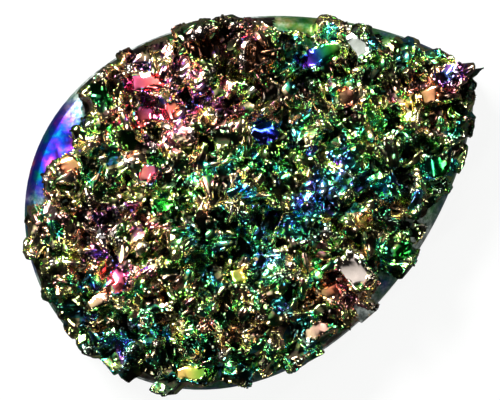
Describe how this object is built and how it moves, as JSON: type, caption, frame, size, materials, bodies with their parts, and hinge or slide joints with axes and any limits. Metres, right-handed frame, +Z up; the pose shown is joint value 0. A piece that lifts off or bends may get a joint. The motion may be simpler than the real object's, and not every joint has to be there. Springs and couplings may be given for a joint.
{
  "type": "druzy stone",
  "caption": "Pear-shaped slab of stone with a flat sawn back, a ground rim and a coarse crust of grown-together crystals under a rainbow metal coat.",
  "frame": {"origin": "middle of the footprint, on the sawn back", "axes": "+Z up out of the crust, square to the sawn back; +X along the stone's length, towards its pointed end; +Y across its width"},
  "size_m": [0.0402, 0.03, 0.0078],
  "materials": {
    "coated_crust": "mirror-bright metal film over crystal faces, in green, blue, violet, rose and gold; dark grey ground rim and sawn back"
  },
  "bodies": {
    "root": {"druzy_stone": "coated_crust"}
  },
  "joints": []
}
